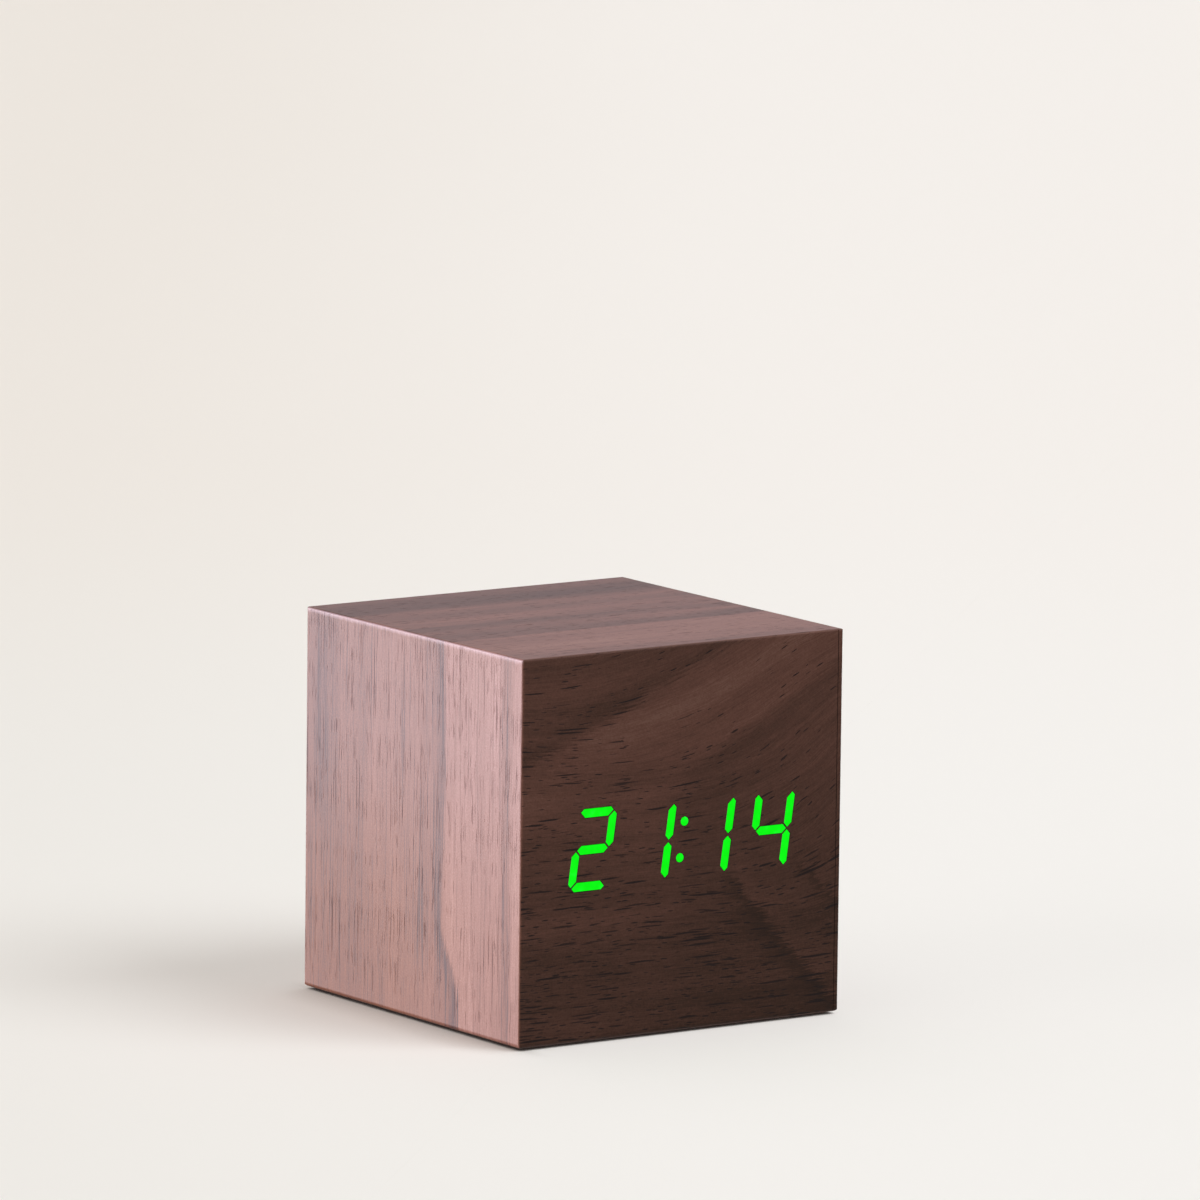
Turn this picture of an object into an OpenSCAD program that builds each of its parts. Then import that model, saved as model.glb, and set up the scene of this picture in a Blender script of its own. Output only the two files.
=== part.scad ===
// Wooden digital clock: a veneered cube whose digits shine through the front.
// Millimetres. Z is up, the front faces -Y, and the origin is under the middle of the feet.

/* [Case] */
// Width of the case, side to side
case_w = 68; // [66:0.5:90]
// Depth of the case, front to rear
case_d = 68.5; // [66:0.5:90]
// Height of the case without its feet
case_h = 68.5; // [62:0.5:90]
// Thickness of the fibreboard panels
panel_t = 5.4; // [4.6:0.1:6]
// Thickness of the wood veneer
veneer_t = 0.6; // [0.5:0.05:0.9]
// Rounding of the upright and top edges
edge_r = 0.4; // [0.2:0.05:0.5]
// Rounding of the edges round the base
base_edge_r = 0.8; // [0.3:0.05:0.9]
// Width of the strip in which the right-hand veneer wraps onto the front
wrap_w = 1.1; // [0.9:0.1:3]
// Open seam beside that strip
seam_w = 0.12; // [0.02:0.01:0.2]
// Room kept between the side panels and what stands between them
side_room = 1.6; // [1:0.1:3]

/* [Display] */
// Hours shown
hours = 21; // [0:1:23]
// Minutes shown
minutes = 14; // [0:1:59]
// Distance from one digit to the next, where the case is wide enough
digit_pitch = 12.65; // [11:0.05:13.5]
// Width of a digit over its bars, before it leans
digit_w = 8.6; // [7:0.1:9.4]
// Height of a digit over its bars
digit_h = 14.65; // [10:0.05:16]
// Width of a bar's window
bar_w = 1.75; // [1.2:0.05:2]
// Veneer left between the windows of two bars
bar_web = 0.12; // [0.1:0.02:0.4]
// How far a bar's outer corner runs past its centre line
bar_corner = 0.2; // [0:0.05:0.4]
// Lean of the digits to the right
digit_lean = 8; // [0:1:12]
// Diameter of the colon's dots
colon_d = 1.8; // [1:0.1:2.2]
// Distance between the colon's dots
colon_pitch = 6.4; // [4:0.1:8]
// How far the digits sit below the middle of the front
display_drop = 0.3; // [0:0.1:3]
// Clearance round a lit bar in its window
light_fit = 0.1; // [0.04:0.01:0.14]
// How far a lit bar sits below the face of the veneer
light_sink = 0.05; // [0.02:0.01:0.1]
// Depth of the diffuser in each well of the reflector
diffuser_t = 2; // [1:0.1:3]
// Reflector beyond the digits at each side
reflector_side = 1; // [0.8:0.1:2]
// Reflector above and below the digits
reflector_head = 2.3; // [1:0.1:4]
// Clearance of the reflector in its window
reflector_fit = 0.2; // [0.1:0.05:0.4]

/* [Circuit boards and screws] */
// Thickness of the circuit boards
board_t = 1.6; // [1:0.1:2]
// Diameter of the small screws
screw_d = 2; // [1.6:0.1:2.4]
// Diameter of their heads
screw_head_d = 3.6; // [3:0.1:4.4]
// Height of their heads
screw_head_h = 1.2; // [0.8:0.1:1.6]
// Clearance of a screw in its hole
screw_fit = 0.05; // [0.02:0.01:0.1]
// Room kept round a screw
screw_land = 2.6; // [2.4:0.1:3.2]
// Depth that a screw goes into a panel
screw_bite = 3.4; // [2:0.1:4]
// Width of the ribbon cable
ribbon_w = 10; // [6:0.5:16]
// Thickness of the ribbon cable
ribbon_t = 0.9; // [0.6:0.1:1.4]
// How far the ribbon cable bows up between its headers
ribbon_bow = 9; // [2:0.5:14]
// Diameter of the battery leads
lead_d = 1.3; // [1:0.1:1.8]
// Bend radius of the battery leads
lead_bend = 3; // [2:0.5:6]

/* [Rear controls] */
// Diameter of the button caps
button_d = 6; // [4.5:0.1:7]
// Distance between the buttons
button_pitch = 9.2; // [8.6:0.1:10.4]
// Clearance of a cap in its bore
button_fit = 0.15; // [0.1:0.05:0.3]
// How far a cap stands out of the sunk floor
button_proud = 1.1; // [0.5:0.1:1.4]
// Travel of a button
button_travel = 0.4; // [0.2:0.05:0.6]
// Width of the rim that holds a cap in
button_rim = 0.9; // [0.6:0.1:1.1]
// Thickness of that rim
button_rim_t = 1; // [0.7:0.1:1.4]
// Width of the mark sunk in a cap
mark_w = 2.4; // [1.6:0.1:3]
// Depth of that mark
mark_t = 0.2; // [0.1:0.05:0.3]
// Length of the stem between the rim and the switch
stem_l = 0.8; // [0.7:0.1:1.4]
// Depth of the sunk floor below the rear face
bezel_sink = 1.5; // [1.2:0.1:2]
// Thickness of the sunk floor
bezel_floor_t = 1.6; // [1.2:0.1:2]
// Thickness of the bezel's walls
bezel_wall = 1.4; // [1:0.1:1.8]
// Height of the bezel inside its walls
bezel_h = 10.4; // [10:0.1:12]
// Thickness of the flange behind the rear panel
flange_t = 1.6; // [1.2:0.1:2.2]
// Reach of the flange beyond the bezel at each end
flange_end = 0.8; // [0.5:0.1:2.4]
// Clearance of the bezel in the rear panel
bezel_fit = 0.2; // [0.1:0.05:0.4]
// Gap between neighbours in the row of controls
row_gap = 0.5; // [0.4:0.1:0.8]
// Diameter of the posts that carry the control board
post_d = 3.6; // [3.2:0.1:5]
// Height of the bezel above the battery tray
bezel_lift = 2; // [1:0.5:8]
// Width of a switch
switch_w = 6; // [5:0.1:6.2]
// Height of a switch body
switch_h = 3.5; // [2.5:0.1:4.3]
// Diameter of a switch plunger
plunger_d = 3.5; // [2.5:0.1:4]
// Length of a plunger outside its switch
plunger_out = 0.8; // [0.7:0.1:1.2]
// Length of a plunger inside its switch
plunger_in = 1.2; // [0.8:0.1:1.6]
// Clearance round a plunger
plunger_fit = 0.06; // [0.04:0.01:0.1]

/* [Power socket] */
// Width of the socket's block
socket_w = 8.6; // [7.6:0.1:9]
// Diameter of the socket's nose
nose_d = 7; // [6:0.1:7.4]
// Clearance of the nose in the bezel
nose_fit = 0.1; // [0.05:0.05:0.3]
// Diameter of the socket's bore
socket_bore_d = 3.6; // [3:0.1:4.2]
// Depth of the bore
socket_depth = 6.8; // [5:0.1:7]
// Diameter of the centre pin
centre_pin_d = 1.3; // [0.8:0.1:1.6]
// Length of the centre pin
centre_pin_l = 5.6; // [4:0.1:6]

/* [Battery tray] */
// Diameter of a cell
cell_d = 10.5; // [9.5:0.1:12]
// Length of a cell over its nub, where the case is wide enough
cell_l = 44.5; // [40:0.5:45]
// Number of cells
cell_count = 3; // [2:1:3]
// Room round each cell
cell_gap = 0.4; // [0.2:0.1:0.8]
// Diameter of a cell's nub
nub_d = 3.8; // [3:0.1:5]
// Length of a cell's nub
nub_l = 1; // [0.6:0.1:1.5]
// Thickness of the contact plates
contact_t = 0.4; // [0.3:0.05:0.6]
// Length of a contact spring when a cell is in
spring_l = 3.2; // [2.8:0.1:4]
// Diameter of the spring wire
spring_wire = 0.5; // [0.4:0.05:0.6]
// Turns of a contact spring
spring_turns = 3; // [2:0.5:3]
// Spare length in the bay
bay_slack = 0.5; // [0.2:0.1:1]
// Thickness of the bay's walls
bay_wall = 1.2; // [1:0.1:1.6]
// Thickness of the tray's flange
tray_t = 2.8; // [2.4:0.1:3.4]
// Reach of the flange beyond the door at each end
tray_end = 2.2; // [2:0.1:3]
// Reach of the flange beyond the door at front and rear, where the screws go
tray_side = 5; // [4.4:0.1:7]
// Clearance of the tray in the base panel
tray_fit = 0.2; // [0.1:0.05:0.4]
// Length of the tray's screws
tray_screw_l = 5; // [4:0.1:5.4]

/* [Battery door] */
// Thickness of the door
door_t = 1.6; // [1.2:0.1:2]
// Ledge that the door closes on
ledge_w = 1.5; // [1:0.1:2]
// Clearance round the door
door_fit = 0.25; // [0.15:0.05:0.4]
// Diameter of the hinge pins
pin_d = 1; // [0.8:0.1:1.2]
// Length of the hinge pins beyond the clearance
pin_l = 1.2; // [0.8:0.1:1.4]
// Clearance round the hinge pins
pin_fit = 0.05; // [0.03:0.01:0.1]
// Width of the latch
latch_w = 8; // [5:0.5:12]
// Thickness of the latch
latch_t = 1; // [0.8:0.1:1.2]
// Height of the latch above the door
latch_h = 2.4; // [2:0.1:3]
// Reach of the latch's hook
latch_hook = 0.35; // [0.2:0.05:0.5]
// Room round the latch
latch_fit = 0.35; // [0.3:0.05:0.5]
// Radius of the fingernail notch beside the latch
notch_r = 4; // [3:0.5:5]
// Depth of that notch
notch_t = 1; // [0.6:0.1:1.4]

/* [Feet] */
// Diameter of the rubber feet
foot_d = 5; // [4:0.2:6]
// Height of the rubber feet
foot_t = 0.4; // [0.3:0.1:1.5]
// Distance of a foot's edge from the sides of the case
foot_inset = 4; // [2:0.1:4.4]

/* [Hidden] */
$fn = 48;

// Overrun of a cut beyond the face that it starts from
cut = 1;

// Case
shell_t = panel_t + veneer_t;
inner_w = case_w - 2 * shell_t;
case_z = foot_t;
case_mid_z = case_z + case_h / 2;
front_in_y = shell_t - case_d / 2;
rear_y = case_d / 2;
rear_in_y = rear_y - shell_t;

// Display
display_z = case_mid_z - display_drop;
lean_w = digit_h * tan(digit_lean);
digit_share = digit_w / digit_pitch;
digits_room = inner_w - 2 * side_room - lean_w - 4 * reflector_side;
digit_step = min(digit_pitch, digits_room / (3 + digit_share));
figure_w = digit_step * digit_share;
reflector_w = 3 * digit_step + figure_w + lean_w + 2 * reflector_side;
reflector_h = digit_h + 2 * reflector_head;
reflector_y = veneer_t - case_d / 2;
display_screw_x = reflector_w / 2 - screw_land;
display_screw_z = reflector_h / 2 + reflector_fit + screw_land;
display_board_w = reflector_w + 2 * reflector_side;
display_board_h = 2 * (display_screw_z + screw_land);
display_board_y = front_in_y;
display_back_y = display_board_y + board_t;
chip_t = 0.6;

// Corners of a digit's centre lines, and the two that each of its bars joins
half_x = (figure_w - bar_w) / 2;
half_z = (digit_h - bar_w) / 2;
top_left = [-half_x, half_z];
top_right = [half_x, half_z];
mid_left = [-half_x, 0];
mid_right = [half_x, 0];
low_left = [-half_x, -half_z];
low_right = [half_x, -half_z];
BARS = [
    [top_left, top_right], [top_right, mid_right], [mid_right, low_right], [low_right, low_left],
    [low_left, mid_left], [mid_left, top_left], [mid_left, mid_right]
];
// The bars that are lit for each figure from 0 to 9
FIGURES = [
    [0, 1, 2, 3, 4, 5], [1, 2], [0, 1, 3, 4, 6], [0, 1, 2, 3, 6], [1, 2, 5, 6],
    [0, 2, 3, 5, 6], [0, 2, 3, 4, 5, 6], [0, 1, 2], [0, 1, 2, 3, 4, 5, 6], [0, 1, 2, 3, 5, 6]
];
SHOWN = [floor(hours / 10), hours % 10, floor(minutes / 10), minutes % 10];

// Battery tray, upwards from the base
cell_pitch = cell_d + cell_gap;
bay_spare = spring_l + 2 * contact_t + bay_slack;
cell_len = min(cell_l, inner_w - 2 * (side_room + bay_wall) - bay_spare);
bay_l = cell_len + bay_spare;
bay_w = cell_count * cell_pitch + cell_gap;
door_l = bay_l + 2 * ledge_w;
door_w = bay_w + 2 * ledge_w;
door_top_z = case_z + door_t;
cell_z = door_top_z + cell_gap + cell_d / 2;
bay_roof_z = cell_z + cell_d / 2 + cell_gap;
bay_top_z = bay_roof_z + bay_wall;
recess_l = door_l + 2 * door_fit;
recess_w = door_w + 2 * door_fit;
tray_l = recess_l + 2 * tray_end;
tray_w = recess_w + 2 * tray_side;
body_l = bay_l + 2 * bay_wall;
body_w = bay_w + 2 * bay_wall;
hinge_y = door_t / 2 - door_w / 2;
hinge_z = case_z + door_t / 2;
tray_screw_x = recess_l / 2 - screw_land;
tray_screw_y = recess_w / 2 + tray_side / 2;
contact_x = bay_l / 2 - contact_t / 2;
contact_h = cell_d - 2;
tail_w = 2;
tail_top_z = bay_top_z + 2;
tail_fit = 0.2;

// Rear controls, inwards from the rear face, and along the row
rim_d = button_d + 2 * button_rim;
floor_y = rear_y - bezel_sink;
floor_in_y = floor_y - bezel_floor_t;
rim_in_y = floor_in_y - button_rim_t;
plunger_tip_y = rim_in_y - stem_l;
switch_top_y = plunger_tip_y - plunger_out;
control_back_y = switch_top_y - switch_h;
control_board_y = control_back_y - board_t;
row_w = 2 * post_d + rim_d + 2 * button_pitch + socket_w + 5 * row_gap;
post_x = row_w / 2 - row_gap - post_d / 2;
first_button_x = -post_x + post_d / 2 + row_gap + rim_d / 2;
socket_x = post_x - post_d / 2 - row_gap - socket_w / 2;
bezel_w = row_w + 2 * bezel_wall;
bezel_out_h = bezel_h + 2 * bezel_wall;
flange_w = bezel_w + 2 * flange_end;
bezel_screw_x = bezel_w / 2 - screw_land;
bezel_screw_z = bezel_out_h / 2 + bezel_fit + screw_land;
flange_h = 2 * (bezel_screw_z + screw_land);
control_z = bay_top_z + bezel_lift + flange_h / 2;
lead_x = contact_x;
control_board_w = max(row_w, 2 * (lead_x + lead_d));
post_hole_l = 4.6;
lead_z = control_z - bezel_out_h / 2 + 2;

// Headers and ribbon cable
header_w = ribbon_w + 3;
header_h = 5;
header_l = 5;
display_header_z = display_z - display_board_h / 2 + header_h / 2 + 1;
ribbon_start_y = display_back_y + header_l;
ribbon_end_y = control_board_y - header_l;
ribbon_steps = 32;

// A box centred on X and Y, standing on Z = 0
module slab(l, w, h) {
    translate([-l / 2, -w / 2, 0]) cube([l, w, h]);
}

// Rectangle centred on X, standing on Y = 0, with its own rounding below and above
module rounded_outline(w, h, low_r, high_r) {
    translate([-w / 2, low_r]) square([w, h - low_r - high_r]);
    translate([low_r - w / 2, 0]) square([w - 2 * low_r, low_r]);
    translate([high_r - w / 2, h - high_r]) square([w - 2 * high_r, high_r]);
    for (side = [-1, 1]) {
        translate([side * (w / 2 - low_r), low_r]) circle(low_r);
        translate([side * (w / 2 - high_r), h - high_r]) circle(high_r);
    }
}

// Draws its outline upright, in X and Z, t thick, with its front at y
module upright(y, t) {
    translate([0, y + t, 0]) rotate([90, 0, 0]) linear_extrude(t) children();
}

// The outside of the case with its rounded edges
module case_envelope() {
    intersection() {
        translate([0, 0, case_z]) upright(-case_d / 2, case_d)
            rounded_outline(case_w, case_h, base_edge_r, edge_r);
        translate([0, 0, case_z]) rotate([0, 0, 90]) upright(-case_w / 2, case_w)
            rounded_outline(case_d, case_h, base_edge_r, edge_r);
        translate([0, -case_d / 2, case_z]) linear_extrude(case_h)
            rounded_outline(case_w, case_d, edge_r, edge_r);
    }
}

// A sheet a by b with its face on Z = 0, t thick below it, and 45 degree mitres all round
module mitred_sheet(a, b, t) {
    intersection() {
        upright(-b / 2, b) polygon([[-a / 2, 0], [a / 2, 0], [a / 2 - t, -t], [t - a / 2, -t]]);
        rotate([0, 0, 90]) upright(-a / 2, a)
            polygon([[-b / 2, 0], [b / 2, 0], [b / 2 - t, -t], [t - b / 2, -t]]);
    }
}

// One mitred side of the case, t thick, whose face lies inset below the outside
module case_side(side, inset, t) {
    w = case_w - 2 * inset;
    d = case_d - 2 * inset;
    h = case_h - 2 * inset;
    turn = side == "top" ? [0, 0, 0] : side == "base" ? [180, 0, 0] : side == "front" ? [90, 0, 0]
        : side == "rear" ? [90, 0, 180] : side == "left" ? [90, 0, -90] : [90, 0, 90];
    level = side == "top" || side == "base";
    across = side == "left" || side == "right";
    reach = level ? h / 2 : across ? w / 2 : d / 2;
    translate([0, 0, case_mid_z]) rotate(turn) translate([0, 0, reach])
        mitred_sheet(across ? d : w, level ? d : h, t);
}

module veneer(side) {
    intersection() {
        case_side(side, 0, veneer_t);
        case_envelope();
    }
}

module panel(side) {
    case_side(side, veneer_t, panel_t);
}

// Everything to the right of x
module right_of(x) {
    translate([x, -case_d, 0]) cube([case_w, 2 * case_d, case_z + case_h + cut]);
}

// Screw with a domed head and a cross slot, its head's seat on Z = 0 and its shank below
module pan_screw(length) {
    slot_w = screw_d / 4;
    difference() {
        union() {
            translate([0, 0, -length]) cylinder(h = length, d = screw_d);
            intersection() {
                cylinder(h = screw_head_h, d = screw_head_d);
                translate([0, 0, screw_head_h - screw_head_d]) sphere(d = 2 * screw_head_d);
            }
        }
        for (turn = [0, 90]) {
            rotate(turn) translate([0, 0, screw_head_h / 2])
                slab(screw_head_d * 0.6, slot_w, screw_head_h);
        }
    }
}

// Screw with a countersunk head whose top is on Z = 0, and a cross slot
module flush_screw(length) {
    head_h = (screw_head_d - screw_d) / 2;
    slot_w = screw_d / 4;
    difference() {
        union() {
            translate([0, 0, -length]) cylinder(h = length, d = screw_d);
            translate([0, 0, -head_h]) cylinder(h = head_h, d1 = screw_d, d2 = screw_head_d);
        }
        for (turn = [0, 90]) {
            rotate(turn) translate([0, 0, -head_h / 2]) slab(screw_head_d * 0.6, slot_w, head_h);
        }
    }
}

// Hole for a screw, depth deep below Z = 0
module screw_hole(depth) {
    translate([0, 0, -depth]) cylinder(h = depth + cut, d = screw_d + 2 * screw_fit);
}

// Places for the display's screws, turned so that they go into the front panel
module at_display_screws() {
    for (x = [-1, 1], z = [-1, 1]) {
        translate([x * display_screw_x, display_back_y, display_z + z * display_screw_z])
            rotate([-90, 0, 0]) children();
    }
}

// Places for the bezel's screws, turned so that they go into the rear panel
module at_bezel_screws() {
    for (x = [-1, 1], z = [-1, 1]) {
        translate([x * bezel_screw_x, rear_in_y - flange_t, control_z + z * bezel_screw_z])
            rotate([90, 0, 0]) children();
    }
}

// Places for the control board's screws, turned so that they go into the posts
module at_control_screws() {
    for (x = [-1, 1]) {
        translate([x * post_x, control_board_y, control_z]) rotate([90, 0, 0]) children();
    }
}

// Places for the tray's screws, turned so that they go up into the base panel
module at_tray_screws() {
    for (x = [-1, 1], y = [-1, 1]) {
        translate([x * tray_screw_x, y * tray_screw_y, case_z]) rotate([180, 0, 0]) children();
    }
}

// Lean of a point in a digit
function leaning(p) = [p.x + p.y * tan(digit_lean), p.y];

// One end of a bar: its inner shoulder, tip and outer shoulder, where along points into the bar,
// outward points to the outside of the digit, and reach is how far the corner runs past the middle
function bar_end(corner, along, outward, half, back, reach) =
    let (tip = corner + along * back)
    [
        tip + (along - outward) * half,
        tip + (outward - along) * reach,
        tip + along * (half - 2 * reach) + outward * half
    ];

// Outline of a digit's bar, drawn in by inset. The ends at the middle of a digit are plain points
function bar_outline(bar, inset) =
    let (
        a = BARS[bar][0],
        b = BARS[bar][1],
        along = (b - a) / norm(b - a),
        outward = [-along.y, along.x],
        half = bar_w / 2 - inset,
        back = (bar_web / 2 + inset) * sqrt(2),
        start = bar_end(a, along, outward, half, back, a.y == 0 ? 0 : bar_corner),
        end = bar_end(b, -along, outward, half, back, b.y == 0 ? 0 : bar_corner)
    )
    [for (p = concat(start, [end[2], end[1], end[0]])) leaning(p)];

function has(list, item) = len([for (x = list) if (x == item) x]) > 0;

function digit_x(place) = (place - 1.5) * digit_step;

// The bars of all the digits and the colon's dots as solids, or only those that are lit
module bars(y, t, inset, lit_only) {
    translate([0, 0, display_z]) {
        for (place = [0:3], bar = [0:6]) {
            if (!lit_only || has(FIGURES[SHOWN[place]], bar)) {
                upright(y, t) translate([digit_x(place), 0]) polygon(bar_outline(bar, inset));
            }
        }
        for (side = [-1, 1]) {
            upright(y, t) translate(leaning([0, side * colon_pitch / 2])) circle(d = colon_d - 2 * inset);
        }
    }
}

// Veneers
module front_veneer() {
    color("saddlebrown") difference() {
        veneer("front");
        right_of(case_w / 2 - wrap_w);
        bars(-case_d / 2 - cut, veneer_t + 2 * cut, 0, true);
    }
}

module left_veneer() {
    color("rosybrown") veneer("left");
}

module right_veneer() {
    color("rosybrown") union() {
        veneer("right");
        intersection() {
            veneer("front");
            right_of(case_w / 2 - wrap_w + seam_w);
        }
    }
}

module top_veneer() {
    color("sienna") veneer("top");
}

module rear_veneer() {
    color("saddlebrown") difference() {
        veneer("rear");
        bezel_opening();
    }
}

module base_veneer() {
    color("sienna") difference() {
        veneer("base");
        tray_recess();
    }
}

// Panels
module front_panel() {
    color("burlywood") difference() {
        panel("front");
        translate([0, 0, display_z]) upright(reflector_y - cut, panel_t + 2 * cut)
            square([reflector_w + 2 * reflector_fit, reflector_h + 2 * reflector_fit], center = true);
        at_display_screws() screw_hole(board_t + screw_bite);
    }
}

module left_panel() {
    color("burlywood") panel("left");
}

module right_panel() {
    color("burlywood") panel("right");
}

module top_panel() {
    color("burlywood") panel("top");
}

module rear_panel() {
    color("burlywood") difference() {
        panel("rear");
        bezel_opening();
        at_bezel_screws() screw_hole(flange_t + screw_bite);
    }
}

module base_panel() {
    color("burlywood") difference() {
        panel("base");
        tray_recess();
        translate([0, 0, case_z]) slab(body_l + 2 * tray_fit, body_w + 2 * tray_fit, shell_t + cut);
        latch_notch();
        at_tray_screws() screw_hole(tray_screw_l);
    }
}

// Opening in the rear of the case for the bezel
module bezel_opening() {
    translate([0, 0, control_z]) upright(rear_in_y - cut, shell_t + 2 * cut)
        square([bezel_w + 2 * bezel_fit, bezel_out_h + 2 * bezel_fit], center = true);
}

// Recess in the base of the case for the tray's flange
module tray_recess() {
    translate([0, 0, case_z - cut]) slab(tray_l + 2 * tray_fit, tray_w + 2 * tray_fit, tray_t + cut);
}

// Display
module lit_segments() {
    color("lime") bars(light_sink - case_d / 2, veneer_t - light_sink, light_fit, true);
}

module segment_diffusers() {
    color("honeydew") bars(reflector_y, diffuser_t, light_fit, false);
}

module reflector_block() {
    color("dimgray") difference() {
        translate([0, 0, display_z]) upright(reflector_y, panel_t)
            square([reflector_w, reflector_h], center = true);
        bars(reflector_y - cut, panel_t + 2 * cut, 0, false);
    }
}

// One light-emitting chip behind each bar and dot, on the display board
module led_chips() {
    chip_w = 0.9;
    middles = concat(
        [for (place = [0:3], bar = BARS) [digit_x(place), 0] + leaning((bar[0] + bar[1]) / 2)],
        [for (side = [-1, 1]) leaning([0, side * colon_pitch / 2])]
    );
    color("khaki") for (p = middles) {
        translate([0, 0, display_z]) upright(display_board_y - chip_t, chip_t)
            translate(p) square(chip_w, center = true);
    }
}

module display_board() {
    color("darkgreen") difference() {
        translate([0, 0, display_z]) upright(display_board_y, board_t)
            square([display_board_w, display_board_h], center = true);
        at_display_screws() screw_hole(board_t + cut);
    }
}

module display_screws() {
    color("silver") at_display_screws() pan_screw(board_t + screw_bite);
}

// Moves to a place on the back of the display board, with Z pointing away from it.
// The place is given as shares of the way from the middle of the board to its edges
module on_display_board(right, up) {
    translate([right * display_board_w / 2, display_back_y, display_z + up * display_board_h / 2])
        rotate([-90, 0, 0]) children();
}

module controller_chip() {
    body = [17.9, 7.5, 2.2];
    leg_pitch = 1.27;
    leg_w = 0.4;
    leg_l = 1.2;
    leg_t = 0.25;
    color("black") on_display_board(-0.45, 0) {
        translate([0, 0, leg_t]) slab(body.x, body.y, body.z);
        for (i = [-6.5:6.5]) {
            translate([i * leg_pitch, 0, 0]) slab(leg_w, body.y + 2 * leg_l, leg_t);
            translate([i * leg_pitch, 0, leg_t]) slab(leg_w, body.y + leg_l, leg_t);
        }
    }
}

module clock_crystal() {
    can_d = 2.1;
    can_l = 6;
    wire_d = 0.4;
    color("silver") on_display_board(-0.65, 0.64) translate([0, 0, can_d / 2]) rotate([0, 90, 0]) {
        cylinder(h = can_l, d = can_d);
        for (side = [-1, 1]) {
            translate([0, side * can_d / 4, -can_l / 3]) cylinder(h = can_l / 3 + wire_d, d = wire_d);
        }
    }
}

module capacitors() {
    can_d = 5;
    can_h = 7;
    crimp = 0.3;
    crimp_z = 1.4;
    outline = [
        [0, 0], [can_d / 2, 0], [can_d / 2, crimp_z - crimp], [can_d / 2 - crimp, crimp_z],
        [can_d / 2, crimp_z + crimp], [can_d / 2, can_h - crimp], [can_d / 2 - crimp, can_h], [0, can_h]
    ];
    color("midnightblue") for (up = [-0.22, 0.22]) {
        on_display_board(0.12, up) rotate_extrude() polygon(outline);
    }
}

module buzzer() {
    can_d = 12;
    can_h = 6.5;
    vent_d = 2;
    vent_l = 3;
    color("black") on_display_board(0.6, 0) difference() {
        cylinder(h = can_h, d = can_d);
        translate([0, 0, can_h - vent_l]) cylinder(h = vent_l + cut, d = vent_d);
    }
}

// Header for the ribbon cable, its back on y and its mouth towards +Y
module header(y, z) {
    lip = 1;
    translate([0, y, z]) rotate([-90, 0, 0]) difference() {
        slab(header_w, header_h, header_l);
        translate([0, 0, header_l - lip]) slab(header_w - 2 * lip, header_h - 2 * lip, lip + cut);
    }
}

module display_header() {
    color("ivory") header(display_back_y, display_header_z);
}

module control_header() {
    color("ivory") mirror([0, 1, 0]) header(-control_board_y, control_z);
}

// Middle line of the ribbon cable at t from 0 to 1, in Y and Z
function ribbon_point(t) = [
    ribbon_start_y - 1 + (ribbon_end_y - ribbon_start_y + 2) * t,
    display_header_z + (control_z - display_header_z) * t * t * (3 - 2 * t)
        + ribbon_bow * pow(sin(180 * t), 2)
];

module ribbon_cable() {
    line = [for (i = [0:ribbon_steps]) ribbon_point(i / ribbon_steps)];
    lower = [for (p = line) p - [0, ribbon_t / 2]];
    upper = [for (i = [ribbon_steps:-1:0]) line[i] + [0, ribbon_t / 2]];
    color("gray") rotate([0, 0, 90]) upright(-ribbon_w / 2, ribbon_w) polygon(concat(lower, upper));
}

// Rear controls
function button_x(place) = first_button_x + place * button_pitch;

module control_bezel() {
    color("black") difference() {
        union() {
            translate([0, 0, control_z]) {
                upright(rear_in_y - flange_t, flange_t) square([flange_w, flange_h], center = true);
                upright(rear_in_y - cut, shell_t + cut) square([bezel_w, bezel_out_h], center = true);
            }
        }
        translate([0, 0, control_z]) {
            upright(floor_y, bezel_sink + cut) square([row_w, bezel_h], center = true);
            upright(rear_in_y - flange_t - cut, floor_in_y - rear_in_y + flange_t + cut)
                square([row_w, bezel_h], center = true);
        }
        for (place = [0:2]) {
            translate([button_x(place), floor_in_y - cut, control_z]) rotate([-90, 0, 0])
                cylinder(h = bezel_floor_t + 2 * cut, d = button_d + 2 * button_fit);
        }
        translate([socket_x, floor_in_y - cut, control_z]) rotate([-90, 0, 0])
            cylinder(h = bezel_floor_t + 2 * cut, d = nose_d + 2 * nose_fit);
        at_bezel_screws() screw_hole(flange_t + cut);
    }
    color("black") bezel_posts();
}

// Posts from the sunk floor to the control board
module bezel_posts() {
    difference() {
        for (x = [-1, 1]) {
            translate([x * post_x, control_back_y, control_z]) rotate([-90, 0, 0])
                cylinder(h = floor_in_y - control_back_y, d = post_d);
        }
        at_control_screws() screw_hole(board_t + post_hole_l);
    }
}

module bezel_screws() {
    color("silver") at_bezel_screws() pan_screw(flange_t + screw_bite);
}

module control_board() {
    color("darkgreen") difference() {
        translate([0, 0, control_z]) upright(control_board_y, board_t)
            square([control_board_w, bezel_out_h], center = true);
        at_control_screws() screw_hole(board_t + cut);
    }
}

module control_screws() {
    color("silver") at_control_screws() pan_screw(board_t + post_hole_l - screw_fit);
}

module switch_bodies() {
    corner = 0.7;
    well = plunger_in + button_travel + plunger_fit;
    color("dimgray") for (place = [0:2]) {
        translate([button_x(place), control_back_y, control_z]) rotate([-90, 0, 0]) difference() {
            slab(switch_w, switch_w, switch_h);
            translate([0, 0, switch_h - well]) cylinder(h = well + cut, d = plunger_d + 2 * plunger_fit);
            for (x = [-1, 1], y = [-1, 1]) {
                translate([x * switch_w / 2, y * switch_w / 2, 0]) rotate(45)
                    translate([0, 0, -cut]) slab(corner, corner, switch_h + 2 * cut);
            }
        }
    }
}

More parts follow.
